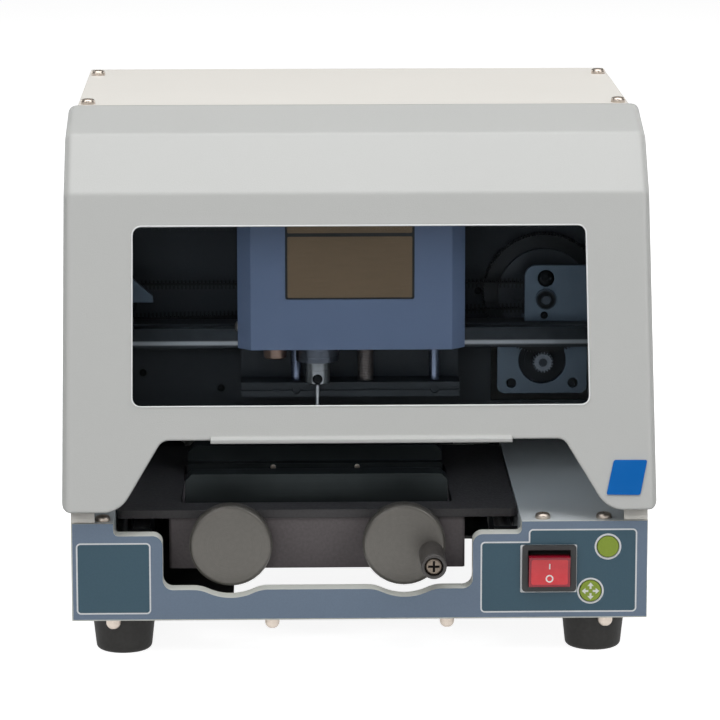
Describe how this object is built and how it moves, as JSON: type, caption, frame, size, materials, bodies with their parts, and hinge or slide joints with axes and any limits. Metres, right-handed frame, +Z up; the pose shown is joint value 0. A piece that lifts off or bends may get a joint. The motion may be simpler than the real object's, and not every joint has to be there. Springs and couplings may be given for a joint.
{
  "type": "desktop engraving machine",
  "caption": "Desktop engraving machine with a hinged hood and smoked window, a spindle head on an X slide, a sliding table and a self-centring vise worked by hand wheels.",
  "frame": {"origin": "centre of the bounding box in plan, on the bottom of the feet", "axes": "+X to the machine's right seen from its front, +Y to its back, +Z up"},
  "size_m": [0.35, 0.3662, 0.3138],
  "materials": {
    "case_paint": "light warm grey satin powder coat",
    "hood_paint": "silver grey satin powder coat",
    "console_paint": "light grey satin powder coat, printed blue film on the front",
    "smoked_acrylic": "smoked clear acrylic",
    "black_paint": "matt black paint",
    "table_black": "black textured paint",
    "vise_grey": "dark grey satin paint",
    "jaw_anodised": "dark anodised",
    "wheel_plastic": "warm grey moulded plastic",
    "head_paint": "blue grey satin paint",
    "steel": "ground or turned steel",
    "nickel": "bright nickel plate",
    "black_oxide": "black oxide",
    "aluminium": "natural machined",
    "motor_case": "black laminations between bright end caps",
    "bronze": "turned bronze",
    "rubber": "black rubber",
    "gear_plastic": "dark moulded plastic",
    "switch_black": "black moulded plastic",
    "switch_red": "glossy red plastic",
    "button_green": "green plastic",
    "pivot_white": "white plastic",
    "circuit_board": "green circuit board",
    "supply_case": "bare sheet metal"
  },
  "bodies": {
    "base": {"bottom_pan": "black_paint", "side_panels": "case_paint", "rear_panel": "case_paint", "top_cover": "case_paint", "front_panel": "console_paint", "console_decks": "console_paint", "bulkhead": "black_paint", "rubber_feet": "rubber", "pan_screws": "nickel", "bottom_screws": "nickel", "hood_pivots": "nickel", "x_beam": "black_paint", "x_rail": "steel", "gear_bracket": "aluminium", "idler_bracket": "aluminium", "motor_plate": "aluminium", "drive_motors": "motor_case", "x_belt": "rubber", "y_rods": "steel", "rod_blocks": "jaw_anodised", "switch_housing": "switch_black", "button_board": "circuit_board", "rear_sockets": "switch_black", "power_supply": "supply_case", "controller_board": "circuit_board"},
    "hood": {"hood_shell": "hood_paint", "window_pane": "smoked_acrylic"},
    "x_carriage": {"carriage_plate": "black_paint", "carriage_blocks": "steel", "z_brackets": "black_paint", "z_rods": "steel", "z_motor": "motor_case", "head_cover": "head_paint"},
    "head": {"spindle_block": "aluminium", "bronze_bush": "bronze", "spindle_motor": "motor_case"},
    "spindle": {"spindle_shaft": "steel", "cutter": "steel"},
    "z_lead_screw": {"z_screw": "steel"},
    "x_gear": {"drive_gear": "gear_plastic", "drive_pulley": "steel"},
    "x_pinion": {"motor_pinion": "steel"},
    "x_idler": {"idler_pulley": "aluminium"},
    "table": {"table_plate": "table_black", "vise_body": "vise_grey", "table_runners": "jaw_anodised", "vise_belt": "rubber"},
    "front_vise_jaw": {"front_jaw": "jaw_anodised"},
    "rear_vise_jaw": {"rear_jaw": "jaw_anodised"},
    "left_screw": {"left_vise_screw": "steel", "left_handwheel": "wheel_plastic"},
    "right_screw": {"right_vise_screw": "steel", "crank_wheel": "wheel_plastic", "grip_bolt": "black_oxide"},
    "grip": {"crank_grip": "wheel_plastic"},
    "y_lead_screw": {"y_screw": "steel"},
    "power_rocker": {"rocker": "switch_red"},
    "shift_key": {"shift_button": "button_green"},
    "jog_gimbal": {"jog_pivot": "pivot_white"},
    "jog_key": {"jog_pad": "button_green"}
  },
  "joints": [
    {"name": "hood_hinge", "type": "hinge", "parent": "base", "child": "hood", "pos_m": [0, -0.03085, 0.299], "axis": [-1, 0, 0], "range_deg": [0, 78]},
    {"name": "x_slide", "type": "slide", "parent": "base", "child": "x_carriage", "axis": [1, 0, 0], "range_m": [-0.06, 0.06]},
    {"name": "gear_spin", "type": "hinge", "parent": "base", "child": "x_gear", "pos_m": [0.12, 0.01215, 0.187], "axis": [0, 1, 0], "range_deg": [-480, 480]},
    {"name": "pinion_spin", "type": "hinge", "parent": "base", "child": "x_pinion", "pos_m": [0.12, 0.01915, 0.14278], "axis": [0, 1, 0], "range_deg": [-3010, 3010]},
    {"name": "idler_spin", "type": "hinge", "parent": "base", "child": "x_idler", "pos_m": [-0.145, 0.01215, 0.1841], "axis": [0, 1, 0], "range_deg": [-345, 345]},
    {"name": "z_slide", "type": "slide", "parent": "x_carriage", "child": "head", "axis": [0, 0, 1], "range_m": [-0.02, 0.01]},
    {"name": "z_screw_spin", "type": "hinge", "parent": "x_carriage", "child": "z_lead_screw", "pos_m": [0.0065, -0.03485, 0.184], "axis": [0, 0, 1], "range_deg": [-1880, 3680]},
    {"name": "spindle_spin", "type": "hinge", "parent": "head", "child": "spindle", "pos_m": [-0.0235, -0.05785, 0.154], "axis": [0, 0, 1], "continuous": true},
    {"name": "table_slide", "type": "slide", "parent": "base", "child": "table", "axis": [0, 1, 0], "range_m": [-0.04, 0.04]},
    {"name": "y_screw_spin", "type": "hinge", "parent": "base", "child": "y_lead_screw", "pos_m": [-0.13005, -0.01285, 0.04715], "axis": [0, 1, 0], "range_deg": [-2940, 2940]},
    {"name": "crank_turn", "type": "hinge", "parent": "table", "child": "right_screw", "pos_m": [0.0267, -0.10285, 0.0656], "axis": [0, 1, 0], "range_deg": [-380, 2850]},
    {"name": "left_wheel_turn", "type": "hinge", "parent": "table", "child": "left_screw", "pos_m": [-0.0762, -0.10285, 0.0656], "axis": [0, 1, 0], "range_deg": [-380, 2850]},
    {"name": "front_jaw_slide", "type": "slide", "parent": "table", "child": "front_vise_jaw", "axis": [0, 1, 0], "range_m": [-0.003, 0.0235]},
    {"name": "rear_jaw_slide", "type": "slide", "parent": "table", "child": "rear_vise_jaw", "axis": [0, 1, 0], "range_m": [-0.0238, 0.0033]},
    {"name": "grip_spin", "type": "hinge", "parent": "right_screw", "child": "grip", "pos_m": [0.0429, -0.16285, 0.0605], "axis": [0, 1, 0], "continuous": true},
    {"name": "rocker_tilt", "type": "hinge", "parent": "base", "child": "power_rocker", "pos_m": [0.1118, -0.15945, 0.05455], "axis": [-1, 0, 0], "range_deg": [0, 16]},
    {"name": "shift_press", "type": "slide", "parent": "base", "child": "shift_key", "axis": [0, 1, 0], "range_m": [0, 0.0008], "stiffness_N_per_m": 800},
    {"name": "jog_up_down", "type": "hinge", "parent": "base", "child": "jog_gimbal", "pos_m": [0.1364, -0.15685, 0.0405], "axis": [1, 0, 0], "range_deg": [-3, 3], "stiffness_Nm_per_rad": 0.2},
    {"name": "jog_left_right", "type": "hinge", "parent": "jog_gimbal", "child": "jog_key", "pos_m": [0.1364, -0.15685, 0.0405], "axis": [0, 0, 1], "range_deg": [-3, 3], "stiffness_Nm_per_rad": 0.2}
  ],
  "couplings": [
    {"joint": "gear_spin", "follows": "x_slide", "rad_per_m": 135.14},
    {"joint": "pinion_spin", "follows": "x_slide", "rad_per_m": -858.11},
    {"joint": "idler_spin", "follows": "x_slide", "rad_per_m": 97.087},
    {"joint": "z_screw_spin", "follows": "z_slide", "rad_per_m": -3141.6},
    {"joint": "y_screw_spin", "follows": "table_slide", "rad_per_m": -1256.6},
    {"joint": "crank_turn", "follows": "front_jaw_slide", "rad_per_m": 2094.4},
    {"joint": "left_wheel_turn", "follows": "front_jaw_slide", "rad_per_m": 2094.4},
    {"joint": "rear_jaw_slide", "follows": "front_jaw_slide", "ratio": -1}
  ]
}
